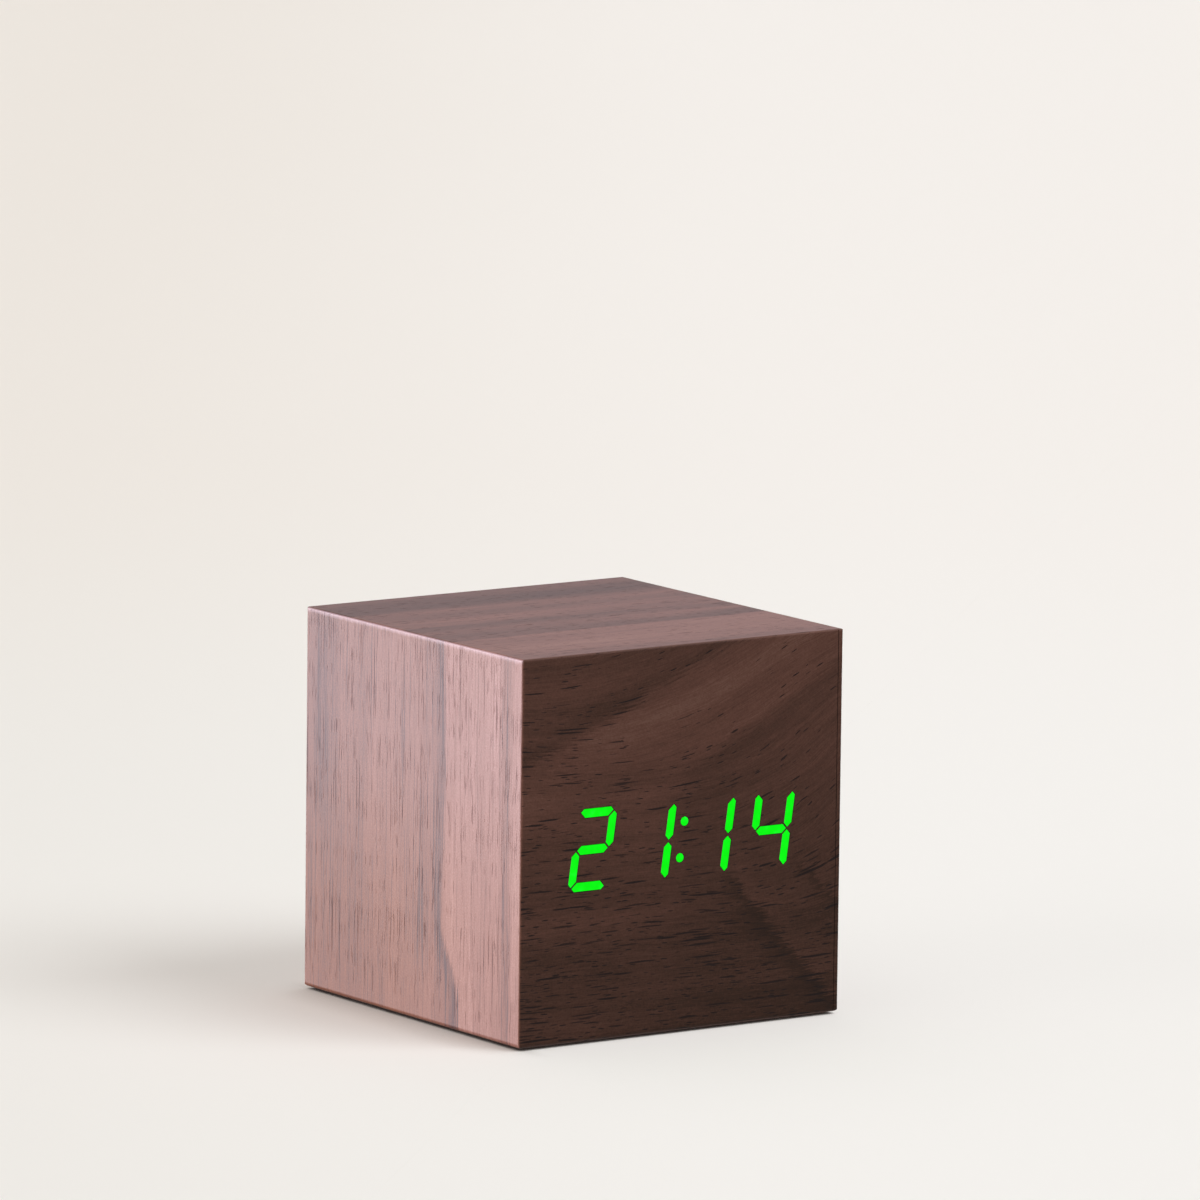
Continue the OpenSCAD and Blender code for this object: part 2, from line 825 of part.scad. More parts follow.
// Button cap with its captive rim and its stem, dished at the outer end, where its mark is sunk
module button(place) {
    round_r = 0.4;
    dish_r = 12;
    dish_t = 0.25;
    barrel_l = floor_y + button_proud - rim_in_y;
    mark_z = barrel_l - dish_t - mark_t;
    color("gray") translate([button_x(place), rim_in_y, control_z]) rotate([-90, 0, 0]) difference() {
        rotate_extrude() {
            translate([0, -stem_l]) square([plunger_d / 2, stem_l]);
            square([rim_d / 2, button_rim_t]);
            square([button_d / 2, barrel_l - round_r]);
            square([button_d / 2 - round_r, barrel_l]);
            translate([button_d / 2 - round_r, barrel_l - round_r]) circle(round_r);
        }
        translate([0, 0, barrel_l - dish_t + dish_r]) sphere(dish_r);
        translate([0, 0, mark_z]) linear_extrude(mark_t + cut) children();
    }
}

// Arrowhead on a cap: way is 1 for up and -1 for down. A cap's own Y points down
module arrow_mark(way) {
    polygon([[-mark_w / 2, way * mark_w / 4], [mark_w / 2, way * mark_w / 4], [0, -way * mark_w / 2]]);
}

// Ring on a cap
module ring_mark() {
    difference() {
        circle(d = mark_w);
        circle(d = mark_w / 2);
    }
}

module plunger(place) {
    color("black") translate([button_x(place), switch_top_y - plunger_in, control_z]) rotate([-90, 0, 0])
        cylinder(h = plunger_in + plunger_out, d = plunger_d);
}

module set_button() {
    button(2) ring_mark();
}

module up_button() {
    button(1) arrow_mark(1);
}

module down_button() {
    button(0) arrow_mark(-1);
}

module set_plunger() {
    plunger(2);
}

module up_plunger() {
    plunger(1);
}

module down_plunger() {
    plunger(0);
}

module power_socket() {
    color("black") translate([socket_x, control_back_y, control_z]) rotate([-90, 0, 0]) difference() {
        union() {
            slab(socket_w, socket_w, floor_in_y - control_back_y);
            cylinder(h = floor_y - control_back_y, d = nose_d);
        }
        translate([0, 0, floor_y - control_back_y - socket_depth])
            cylinder(h = socket_depth + cut, d = socket_bore_d);
    }
}

module socket_pin() {
    color("gold") translate([socket_x, floor_y - socket_depth, control_z]) rotate([-90, 0, 0])
        cylinder(h = centre_pin_l, d = centre_pin_d);
}

// Leads from the end contacts up and back to the control board
module lead(x, y) {
    rise = lead_z - lead_bend - tail_top_z;
    translate([x, y, tail_top_z]) cylinder(h = rise, d = lead_d);
    translate([x, y + lead_bend, tail_top_z + rise]) rotate([90, 0, -90])
        rotate_extrude(angle = 90) translate([lead_bend, 0]) circle(d = lead_d);
    translate([x, y + lead_bend, lead_z]) rotate([-90, 0, 0])
        cylinder(h = control_board_y - y - lead_bend, d = lead_d);
}

module red_lead() {
    color("red") lead(last_end() * lead_x, cell_y(cell_count - 1));
}

module black_lead() {
    color("black") lead(-lead_x, cell_y(0));
}

// Battery tray. The cells lie along X and point the other way in turn
function cell_y(i) = (i - (cell_count - 1) / 2) * cell_pitch;

function cell_way(i) = i % 2 == 0 ? 1 : -1;

function last_end() = cell_way(cell_count - 1);

module battery_tray() {
    color("black") difference() {
        union() {
            translate([0, 0, case_z]) slab(tray_l, tray_w, tray_t);
            translate([0, 0, case_z]) slab(body_l, body_w, bay_top_z - case_z);
        }
        translate([0, 0, case_z]) slab(bay_l, bay_w, bay_roof_z - case_z);
        translate([0, 0, case_z - cut]) slab(recess_l, recess_w, door_t + cut);
        hinge_slots();
        latch_notch();
        at_tray_screws() screw_hole(tray_screw_l);
        at_tray_screws() translate([0, 0, -(screw_head_d - screw_d) / 2])
            cylinder(h = (screw_head_d - screw_d) / 2, d1 = screw_d, d2 = screw_head_d);
        for (end = [[-1, 0], [last_end(), cell_count - 1]]) {
            translate([end.x * contact_x, cell_y(end.y), bay_roof_z - cut])
                slab(contact_t + 2 * tail_fit, tail_w + 2 * tail_fit, bay_wall + 2 * cut);
        }
    }
}

// Slots, open below, that the door's pins snap into
module hinge_slots() {
    slot_d = pin_d + 2 * pin_fit;
    slot_l = recess_l + 2 * pin_l + 2 * pin_fit;
    translate([-slot_l / 2, hinge_y, hinge_z]) rotate([0, 90, 0]) cylinder(h = slot_l, d = slot_d);
    translate([0, hinge_y, case_z - cut]) slab(slot_l, slot_d, door_t / 2 + cut);
}

// Room for the latch in the tray and the base panel, and the notch for a fingernail beside it
module latch_notch() {
    wide = latch_w + 2 * latch_fit;
    reach = door_w / 2 + latch_hook + latch_fit;
    translate([-wide / 2, bay_w / 2 - cut, case_z - cut])
        cube([wide, reach - bay_w / 2 + cut, door_t + latch_h + latch_fit + cut]);
    translate([0, door_w / 2, case_z - cut]) cylinder(h = notch_t + cut, r = notch_r);
}

module tray_screws() {
    color("silver") at_tray_screws() flush_screw(tray_screw_l - screw_fit);
}

module battery_door() {
    color("black") {
        translate([0, hinge_y, case_z]) translate([-door_l / 2, 0, 0])
            cube([door_l, door_w / 2 - hinge_y, door_t]);
        translate([-door_l / 2, hinge_y, hinge_z]) rotate([0, 90, 0]) cylinder(h = door_l, d = door_t);
        translate([-door_l / 2 - door_fit - pin_l, hinge_y, hinge_z]) rotate([0, 90, 0])
            cylinder(h = door_l + 2 * (door_fit + pin_l), d = pin_d);
        translate([-latch_w / 2, door_w / 2 - latch_t, door_top_z]) cube([latch_w, latch_t, latch_h]);
        translate([-latch_w / 2, door_w / 2, door_top_z + latch_h - latch_t])
            rotate([90, 0, 90]) linear_extrude(latch_w)
                polygon([[0, 0], [latch_hook, latch_hook], [latch_hook, latch_t / 2], [0, latch_t]]);
    }
}

module battery_cells() {
    round_r = 0.5;
    r = cell_d / 2;
    outline = [
        [0, 0], [r - round_r, 0], [r, round_r], [r, cell_len - nub_l - round_r],
        [r - round_r, cell_len - nub_l], [nub_d / 2, cell_len - nub_l], [nub_d / 2, cell_len],
        [0, cell_len]
    ];
    foot_x = bay_l / 2 - contact_t - spring_l;
    color("seagreen") for (i = [0:cell_count - 1]) {
        translate([-cell_way(i) * foot_x, cell_y(i), cell_z]) rotate([0, cell_way(i) * 90, 0])
            rotate_extrude() polygon(outline);
    }
}

// Plates behind the cells: links between neighbours, and an end plate with a tail for each lead
module contact_plates() {
    links = [for (i = [0:cell_count - 2]) [cell_way(i), (cell_y(i) + cell_y(i + 1)) / 2, cell_pitch]];
    ends = [[-1, cell_y(0), 0], [last_end(), cell_y(cell_count - 1), 0]];
    color("silver") {
        for (plate = concat(links, ends)) {
            translate([plate[0] * contact_x, plate[1], cell_z - contact_h / 2])
                slab(contact_t, contact_h + plate[2], contact_h);
        }
        for (end = ends) {
            translate([end[0] * contact_x, end[1], cell_z]) slab(contact_t, tail_w, tail_top_z - cell_z);
        }
    }
}

// Contact spring: one tube along a helix that narrows towards the cell
spring_wide_r = cell_d * 0.32;
spring_tip_r = nub_d * 0.45;
spring_steps = 8 * spring_turns;
spring_sides = 6;
spring_clear = 0.04;
spring_rise = spring_l - spring_wire - 2 * spring_clear;

function spring_point(i) =
    let (t = i / spring_steps, r = spring_wide_r + (spring_tip_r - spring_wide_r) * t, a = 45 * i)
    [r * cos(a), r * sin(a), spring_wire / 2 + spring_clear + spring_rise * t];

function spring_ring(i) =
    let (
        a = 45 * i,
        outward = [cos(a), sin(a), 0],
        along = spring_point(min(i + 0.5, spring_steps)) - spring_point(max(i - 0.5, 0)),
        flat = cross(along / norm(along), outward),
        across = flat / norm(flat)
    )
    [
        for (k = [0:spring_sides - 1])
            spring_point(i) + spring_wire / 2
                * (cos(k * 360 / spring_sides) * outward + sin(k * 360 / spring_sides) * across)
    ];

module contact_spring() {
    points = [for (i = [0:spring_steps]) each spring_ring(i)];
    last = spring_steps * spring_sides;
    walls = [
        for (i = [0:spring_steps - 1], k = [0:spring_sides - 1])
            let (a = i * spring_sides + k, b = i * spring_sides + (k + 1) % spring_sides)
            each [[a, a + spring_sides, b], [b, a + spring_sides, b + spring_sides]]
    ];
    near_cap = [for (k = [1:spring_sides - 2]) [0, k, k + 1]];
    far_cap = [for (k = [1:spring_sides - 2]) [last, last + k + 1, last + k]];
    polyhedron(points, concat(walls, near_cap, far_cap));
}

// Least gap between one turn of a spring and the next
echo(spring_gap = min([
    for (i = [0:spring_steps], k = [0:spring_steps])
        if (k - i > 5) norm(spring_point(i) - spring_point(k)) - spring_wire
]));

module contact_springs() {
    color("silver") for (i = [0:cell_count - 1]) {
        translate([-cell_way(i) * (bay_l / 2 - contact_t), cell_y(i), cell_z])
            rotate([0, cell_way(i) * 90, 0]) contact_spring();
    }
}

module rubber_feet() {
    bevel = foot_t / 4;
    r = foot_d / 2;
    outline = [[0, 0], [r - bevel, 0], [r, bevel], [r, foot_t], [0, foot_t]];
    color("dimgray") for (x = [-1, 1], y = [-1, 1]) {
        translate([x * (case_w / 2 - foot_inset - r), y * (case_d / 2 - foot_inset - r), 0])
            rotate_extrude() polygon(outline);
    }
}

front_veneer();
left_veneer();
right_veneer();
top_veneer();
rear_veneer();
base_veneer();
front_panel();
left_panel();
right_panel();
top_panel();
rear_panel();
base_panel();
lit_segments();
segment_diffusers();
reflector_block();
led_chips();
display_board();
display_screws();
controller_chip();
clock_crystal();
capacitors();
buzzer();
display_header();
control_header();
ribbon_cable();
control_bezel();
bezel_screws();
control_board();
control_screws();
switch_bodies();
set_button();
up_button();
down_button();
set_plunger();
up_plunger();
down_plunger();
power_socket();
socket_pin();
red_lead();
black_lead();
battery_tray();
tray_screws();
battery_door();
battery_cells();
contact_plates();
contact_springs();
rubber_feet();
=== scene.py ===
"""Looks of the wooden digital clock: veneer, lit digits, plastics, boards, floor, light and camera."""

import math

import bpy
from mathutils import Matrix, Vector


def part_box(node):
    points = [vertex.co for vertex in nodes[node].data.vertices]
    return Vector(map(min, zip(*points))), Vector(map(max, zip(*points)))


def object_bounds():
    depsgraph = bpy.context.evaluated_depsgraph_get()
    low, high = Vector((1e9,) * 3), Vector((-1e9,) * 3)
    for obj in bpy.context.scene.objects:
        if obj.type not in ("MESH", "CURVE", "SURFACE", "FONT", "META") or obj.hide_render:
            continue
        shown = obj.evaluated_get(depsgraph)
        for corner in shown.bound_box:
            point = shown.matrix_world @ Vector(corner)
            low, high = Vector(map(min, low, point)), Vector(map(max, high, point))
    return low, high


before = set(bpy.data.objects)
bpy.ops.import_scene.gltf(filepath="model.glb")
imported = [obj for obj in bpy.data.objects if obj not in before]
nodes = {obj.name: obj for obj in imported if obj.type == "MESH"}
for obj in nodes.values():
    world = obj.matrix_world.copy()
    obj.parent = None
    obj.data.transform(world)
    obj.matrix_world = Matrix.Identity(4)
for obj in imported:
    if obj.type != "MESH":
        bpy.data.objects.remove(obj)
cad_low, cad_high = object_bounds()

MM = 1000
VENEER_T = 0.0006
CASE_LOW, CASE_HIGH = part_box("left_panel")[0].z - VENEER_T, cad_high.z
CASE_MID = (CASE_LOW + CASE_HIGH) / 2 * MM
HALF = cad_high.x * MM


def tone(r, g, b):
    """A colour as the eye reads it, 0 to 255, as the linear colour that a shader takes."""
    shares = (r / 255, g / 255, b / 255)
    return tuple(c / 12.92 if c <= 0.04045 else ((c + 0.055) / 1.055) ** 2.4 for c in shares) + (1.0,)


def dimmed(colour, share):
    return tuple(c * share for c in colour[:3]) + (1.0,)


class Graph:
    """A material's nodes, or the world's, made by short calls. Any input takes a number or a node's output."""

    def __init__(self, name, owner=None):
        self.material = owner or bpy.data.materials.new(name)
        self.material.use_nodes = True
        self.tree = self.material.node_tree
        self.shader = self.tree.nodes.get("Principled BSDF")

    def put(self, socket, value):
        if isinstance(value, bpy.types.NodeSocket):
            self.tree.links.new(value, socket)
        else:
            socket.default_value = value

    def node(self, kind, **settings):
        made = self.tree.nodes.new(kind)
        for key, value in settings.items():
            setattr(made, key, value)
        return made

    def math(self, operation, *values):
        made = self.node("ShaderNodeMath", operation=operation)
        for socket, value in zip(made.inputs, values):
            self.put(socket, value)
        return made.outputs[0]

    def add(self, *values):
        total = values[0]
        for value in values[1:]:
            total = self.math("ADD", total, value)
        return total

    def times(self, a, b):
        return self.math("MULTIPLY", a, b)

    def place(self):
        """The point's X, Y and Z in the row frame, in millimetres."""
        at = self.node("ShaderNodeTexCoord").outputs["Object"]
        scaled = self.node("ShaderNodeVectorMath", operation="SCALE")
        self.put(scaled.inputs[0], at)
        scaled.inputs["Scale"].default_value = MM
        return self.node_out("ShaderNodeSeparateXYZ", scaled.outputs[0])

    def node_out(self, kind, value):
        made = self.node(kind)
        self.put(made.inputs[0], value)
        return list(made.outputs)

    def vector(self, x, y, z=0.0):
        made = self.node("ShaderNodeCombineXYZ")
        for socket, value in zip(made.inputs, (x, y, z)):
            self.put(socket, value)
        return made.outputs[0]

    def stretched(self, along, across, length, width, seed=0.0):
        """Coordinates in which a blot of one unit is length long and width wide."""
        return self.vector(self.math("DIVIDE", along, length), self.math("DIVIDE", across, width), seed)

    def noise(self, vector, scale=1.0, detail=2.0, roughness=0.5):
        made = self.node("ShaderNodeTexNoise")
        self.put(made.inputs["Vector"], vector)
        made.inputs["Scale"].default_value = scale
        made.inputs["Detail"].default_value = detail
        made.inputs["Roughness"].default_value = roughness
        return made.outputs["Fac"]

    def cells(self, vector, scale=1.0):
        """Distance to the nearest of many scattered points, and two random numbers for that point."""
        made = self.node("ShaderNodeTexVoronoi")
        self.put(made.inputs["Vector"], vector)
        made.inputs["Scale"].default_value = scale
        random = self.node_out("ShaderNodeSeparateColor", made.outputs["Color"])
        return made.outputs["Distance"], random[0], random[1]

    def open_sky(self, millimetres):
        """The share of the half sphere over the point in which nothing stands within this distance."""
        made = self.node("ShaderNodeAmbientOcclusion", samples=8)
        made.inputs["Distance"].default_value = millimetres / MM
        return made.outputs["AO"]

    def fade(self, value, start, end, low=0.0, high=1.0):
        """Low before start, high after end, and a smooth change between."""
        made = self.node("ShaderNodeMapRange", interpolation_type="SMOOTHSTEP")
        for socket, number in zip(made.inputs[:5], (value, start, end, low, high)):
            self.put(socket, number)
        return made.outputs[0]

    def ramp(self, value, stops):
        """A colour, or a grey where a stop gives one number, that changes with value from stop to stop."""
        low, high = stops[0][0], stops[-1][0]
        made = self.node("ShaderNodeValToRGB")
        self.put(made.inputs[0], self.math("DIVIDE", self.math("SUBTRACT", value, low), high - low))
        elements = made.color_ramp.elements
        while len(elements) < len(stops):
            elements.new(0.5)
        for element, (at, colour) in zip(elements, stops):
            element.position = (at - low) / (high - low)
            element.color = colour if isinstance(colour, tuple) else (colour, colour, colour, 1.0)
        return made.outputs[0]

    def profile(self, value, stops):
        """A number that changes with value from stop to stop, and may fall below nought."""
        least = min(number for _, number in stops)
        return self.math("ADD", self.ramp(value, [(at, number - least) for at, number in stops]), least)

    def mix(self, share, a, b, blend="MIX"):
        made = self.node("ShaderNodeMix", data_type="RGBA", blend_type=blend)
        self.put(made.inputs[0], share)
        self.put(made.inputs[6], a)
        self.put(made.inputs[7], b)
        return made.outputs[2]

    def bump(self, height, millimetres, strength=1.0):
        made = self.node("ShaderNodeBump")
        made.inputs["Strength"].default_value = strength
        made.inputs["Distance"].default_value = millimetres / MM
        self.put(made.inputs["Height"], height)
        self.put(self.shader.inputs["Normal"], made.outputs[0])

    def finish(self, colour, roughness, **fixed):
        self.put(self.shader.inputs["Base Color"], colour)
        self.put(self.shader.inputs["Roughness"], roughness)
        for name, value in fixed.items():
            self.shader.inputs[name.replace("_", " ").title().replace("Ior", "IOR")].default_value = value
        return self.material


def paint(material, *names):
    """Gives the material to these CAD nodes."""
    for name in names:
        mesh = nodes[name].data
        mesh.materials.clear()
        mesh.materials.append(material)
        for polygon in mesh.polygons:
            polygon.material_index = 0


def moulded(name, dark, light, roughness, grain=0.5, grain_mm=0.03, **fixed):
    """Plastic or rubber with a fine moulded grain and a little uneven colour."""
    g = Graph(name)
    place = g.vector(*g.place())
    speck = g.noise(place, 1 / grain, 3.0, 0.6)
    cloud = g.noise(place, 0.09, 2.0)
    colour = g.mix(g.fade(g.add(g.times(speck, 0.6), g.times(cloud, 0.4)), 0.35, 0.65), dark, light)
    g.bump(speck, grain_mm, 0.5)
    return g.finish(colour, g.math("MULTIPLY_ADD", speck, 0.16, roughness - 0.08), **fixed)


# Wood: colours by depth, from the dark lines to the pale ground
WALNUT = [
    (0.0, tone(42, 27, 19)),
    (0.3, tone(64, 43, 33)),
    (0.55, tone(90, 62, 52)),
    (0.8, tone(114, 79, 68)),
    (1.0, tone(130, 96, 84)),
]
PORE = tone(26, 18, 17)
# Paler, lavender copy of the walnut for the left face: its colours hold painted window haze
WALNUT_PAINTED_HAZE = [
    (0.0, tone(46, 31, 37)),
    (0.3, tone(66, 44, 45)),
    (0.55, tone(94, 62, 54)),
    (0.8, tone(114, 82, 76)),
    (1.0, tone(132, 104, 101)),
]


def axis(g, place, letter):
    """One of the six directions across a face, in millimetres from the middle of the case."""
    x, y, z = place
    value = {"x": x, "y": y, "z": g.math("SUBTRACT", z, CASE_MID)}[letter[-1]]
    return g.math("MULTIPLY", value, -1.0) if letter[0] == "-" else value


def band(start, tilt, profile, reach=None, bend=None):
    """A dark line on a face, over = start + tilt * run, with its darkness at some distances from it. reach says
    where along the run it fades in, and bend where it leaves the line and by how much."""
    return start, tilt, profile, reach, bend


def walnut(
    name, along, across, seed, bands,
    lean=(0.0, 0.0), shade=(0.0, 0.0), stray=3.6, feather=5.0, teeth=3.0, calm=1.0, lines=0.0,
    pores=((2.2, 0.36, 0.6), (4.4, 0.42, 0.4)), pore_dark=0.9, low_crowd=0.0,
    colours=WALNUT, pore=PORE, painted_highlight=None, painted_low_shade=None, windows=False, gloss=0.2, dulled=0.0,
):
    """Veneer whose grain runs along one direction of a face. All lengths are in millimetres.

    lean, shade: the grain's slope and its added depth, at the low and at the high end of the face; on the left and
    top faces shade is painted sheen, lighter toward the front edge
    stray, feather, teeth: how far bands stray, and how long and deep the teeth at their edges are
    calm, lines: scale of all other streaks, and depth of long thin lines, mostly in the bands
    pores: layers of dashes, each with a length, a width and a share
    low_crowd: share of pores that moves from the high end to the low end
    painted_highlight, painted_low_shade: a painted highlight colour at the face's upper edge, and a painted shade
    tint of its lower part
    windows: whether the veneer has windows, whose walls get painted shade, a near-black colour
    gloss, dulled: specular level, and roughness added toward the bottom
    """
    g = Graph(name)
    place = g.place()
    run, over = axis(g, place, along), axis(g, place, across)
    slope = g.fade(g.add(over, g.times(run, 0.5)), -8.0, 44.0, *lean)
    wander = g.math("SUBTRACT", g.noise(g.stretched(run, over, 26.0, 9.0, seed), detail=3.0), 0.5)
    level = g.add(g.math("SUBTRACT", over, g.times(slope, run)), g.times(wander, stray * 0.6))
    tooth = g.noise(g.stretched(run, level, feather, 0.4, seed + 1), detail=3.0, roughness=0.6)
    jag = g.math("SUBTRACT", tooth, 0.5)

    figure = 0.0
    for start, tilt, profile, reach, bend in bands:
        line = g.math("MULTIPLY_ADD", run, tilt, start)
        if bend:
            line = g.add(line, g.fade(run, *bend))
        ragged = g.times(jag, teeth * (1 + 0.9 * tilt**2))
        distance = g.add(g.math("SUBTRACT", over, line), g.times(wander, stray), ragged)
        dark = g.profile(distance, profile)
        if reach:
            dark = g.times(dark, g.fade(run, *reach))
        figure = g.add(figure, dark)

    broad = g.noise(g.stretched(run, level, 60.0, 5.0, seed + 3), detail=3.0)
    streak = g.noise(g.stretched(run, level, 22.0, 0.7, seed + 5), detail=3.0, roughness=0.65)
    fibre = g.noise(g.stretched(run, level, 3.4, 0.14, seed + 7), detail=2.0)
    thread = g.noise(g.stretched(run, level, 34.0, 0.42, seed + 13), detail=2.0, roughness=0.6)
    thin = g.fade(thread, 0.5, 0.7)
    speck = g.noise(g.vector(*place), 3.2, 1.0)
    depth = g.add(
        0.58,
        g.fade(over, -26.0, 26.0, *shade),
        g.times(g.math("SUBTRACT", broad, 0.5), 0.6 * calm),
        g.times(g.math("SUBTRACT", streak, 0.5), 0.45 * calm),
        g.times(g.math("SUBTRACT", fibre, 0.5), 0.5),
        g.times(g.math("SUBTRACT", speck, 0.5), 0.3),
        g.times(figure, -1.0),
        g.times(g.times(thin, g.math("MULTIPLY_ADD", figure, 2.4, 0.4)), -lines),
    )
    colour = g.ramp(depth, colours)

    patches = g.noise(g.stretched(run, level, 16.0, 6.0, seed + 9), detail=2.0)
    corner = g.fade(g.add(over, g.times(run, 0.5)), 34.0, -34.0, -low_crowd, low_crowd)
    holes = 0.0
    for salt, (length, width, share) in enumerate(pores):
        distance, chance, size = g.cells(g.stretched(run, level, length, width, seed + 11 + 6 * salt))
        radius = g.math("MULTIPLY_ADD", size, 0.24, 0.14)
        dash = g.fade(g.math("DIVIDE", distance, radius), 1.0, 0.6)
        spread = g.fade(patches, 0.32, 0.68, share * (1 - 0.6 * calm), share * (1 + 0.5 * calm))
        crowd = g.add(spread, g.times(figure, 0.6), corner)
        here = g.math("LESS_THAN", chance, crowd)
        strength = g.math("MULTIPLY_ADD", size, 0.4, 0.6)
        holes = g.math("MAXIMUM", holes, g.times(g.times(dash, here), strength))
    colour = g.mix(g.times(holes, pore_dark), colour, pore)
    # Painted shade: a darker, warmer tint over the lower part of the face, for the sheen that fades toward the
    # bottom
    if painted_low_shade:
        low_shade_share = g.times(g.fade(run, 22.0, -18.0, 0.0, 0.85), g.fade(over, 24.0, -8.0, 0.4, 1.0))
        colour = g.mix(low_shade_share, colour, painted_low_shade, "MULTIPLY")
    # Painted highlight: a pale band along the face's upper edge
    if painted_highlight:
        outer = g.add(run, g.times(streak, 0.8))
        colour = g.mix(g.fade(outer, HALF - 0.4, HALF + 0.4, 0.0, 0.32), colour, painted_highlight)
    worn = g.fade(run, 20.0, -34.0, 0.0, dulled)
    roughness = g.add(0.38, g.times(fibre, 0.1), g.times(holes, 0.2), worn)
    if windows:
        normal = g.node_out("ShaderNodeSeparateXYZ", g.node("ShaderNodeNewGeometry").outputs["True Normal"])
        painted_wall_shade = g.math("LESS_THAN", g.math("ABSOLUTE", normal[1]), 0.5)
        # Painted shade: the windows' walls take a near-black colour, since the side lamps cast no shadow into them
        colour = g.mix(painted_wall_shade, colour, tone(6, 5, 4))
        roughness = g.math("MAXIMUM", roughness, painted_wall_shade)
    g.bump(g.add(g.times(holes, -1.0), g.times(fibre, 0.15), g.times(speck, 0.5)), 0.05, 0.4)
    return g.finish(colour, roughness, specular_ior_level=gloss)


FAINT = [(-3.5, 0.0), (0.0, 0.14), (3.5, 0.0)]
NARROW = [(-3.0, 0.0), (-0.6, 0.3), (0.4, 0.32), (2.4, 0.0)]
SHARP = [(-1.2, 0.0), (0.0, 0.36), (2.0, 0.18), (8.0, 0.0)]

paint(
    walnut(
        "walnut_front", "x", "z", 1.0,
        [
            band(31.0, 0.43, [
                (-14.0, 0.0), (-7.0, -0.1), (-2.8, -0.04), (-0.6, 0.28), (1.2, 0.24), (6.0, 0.15), (14.0, 0.13),
            ]),
            band(10.9, 0.54, [
                (-14.0, 0.08), (-7.0, 0.16), (-1.4, 0.18), (0.0, 0.14), (1.6, 0.0),
            ], reach=(-8.0, 8.0)),
            band(2.8, -1.08, [
                (-8.0, 0.0), (-2.8, 0.1), (-0.6, 0.3), (0.6, 0.12), (1.6, -0.1), (9.0, 0.0),
            ], reach=(7.0, 13.0)),
            band(16.4, -0.92, [(-6.0, 0.0), (-1.8, 0.08), (-0.2, 0.26), (0.8, 0.0)], reach=(22.0, 27.0)),
            band(-23.5, -0.15, [(-4.0, 0.0), (-0.5, 0.12), (0.8, 0.1), (3.0, 0.0)], reach=(-6.0, -16.0)),
            band(-33.0, 0.0, [(0.0, 0.12), (8.0, 0.0)], reach=(-22.0, -10.0)),
        ],
        lean=(0.0, 0.4), shade=(-0.11, 0.17), teeth=6.0, calm=0.8,
        pores=((2.6, 0.42, 0.6), (8.0, 0.6, 0.52), (13.0, 0.68, 0.42)), pore_dark=0.96, low_crowd=0.48,
        windows=True, gloss=0.14,
    ),
    "front_veneer",
)
paint(
    walnut(
        "walnut_left", "z", "-y", 31.0,
        [
            band(10.0, 0.0, [
                (-13.0, 0.0), (-7.0, 0.1), (-3.6, 0.16), (-1.6, 0.36), (-0.4, 0.36), (0.6, -0.06), (8.0, 0.0),
            ], bend=(-16.0, -30.0, 0.0, 5.0)),
            band(30.4, 0.0, [(-3.0, 0.0), (-1.2, 0.2), (-0.2, 0.2), (0.9, 0.0)]),
            band(-26.0, 0.03, [(-9.0, 0.08), (-3.0, 0.14), (0.0, 0.1), (3.0, 0.0)], reach=(-22.0, 6.0)),
        ],
        # Painted sheen: shade makes this face lighter toward its front edge
        shade=(-0.05, 0.2), stray=1.6, feather=14.0, teeth=5.0, calm=0.6, lines=0.65,
        pores=((4.5, 0.24, 0.35), (10.0, 0.25, 0.35), (24.0, 0.28, 0.3)), pore_dark=0.66,
        # Painted light on the left face: its colours and lavender pores hold painted window haze, its upper edge a
        # painted highlight, and its lower part a painted shade tint
        colours=WALNUT_PAINTED_HAZE, pore=tone(48, 34, 42), painted_highlight=tone(186, 172, 184), painted_low_shade=(1.0, 0.85, 0.55, 1.0), dulled=0.08,
    ),
    "left_veneer",
)
paint(
    walnut(
        "walnut_right", "z", "y", 47.0,
        [band(-12.0, 0.03, SHARP), band(16.0, -0.04, NARROW), band(28.0, 0.0, FAINT)],
        stray=1.6, feather=14.0, pores=((8.0, 0.25, 0.3), (16.0, 0.28, 0.3)),
    ),
    "right_veneer",
)
paint(
    walnut(
        "walnut_top", "x", "y", 61.0,
        [
            band(25.0, 0.0, [(-6.5, 0.0), (-2.0, 0.22), (2.5, 0.28), (5.5, 0.06)]),
            band(0.2, -0.01, [(-3.0, 0.1), (-1.5, 0.26), (1.5, 0.26), (2.6, 0.0)]),
            band(-11.2, 0.01, [(-1.0, 0.0), (0.2, 0.32), (3.5, 0.28), (6.0, 0.08), (9.0, 0.0)]),
            band(-33.0, 0.0, [(0.0, 0.16), (7.0, 0.0)]),
        ],
        # Painted sheen: shade makes this face lighter toward its front edge
        shade=(0.35, -0.04), pores=((3.0, 0.32, 0.4), (6.0, 0.4, 0.25)), pore_dark=0.7,
    ),
    "top_veneer",
)
paint(
    walnut(
        "walnut_rear", "-x", "z", 83.0,
        [
            band(20.0, 0.2, SHARP),
            band(-4.0, 0.25, [(-8.0, 0.0), (-2.0, 0.16), (0.0, 0.34), (1.0, 0.0)]),
            band(-26.0, 0.05, NARROW),
        ],
        lean=(0.05, 0.24),
    ),
    "rear_veneer",
)
paint(walnut("walnut_base", "x", "y", 97.0, [band(14.0, 0.04, NARROW), band(-20.0, 0.0, FAINT)]), "base_veneer")

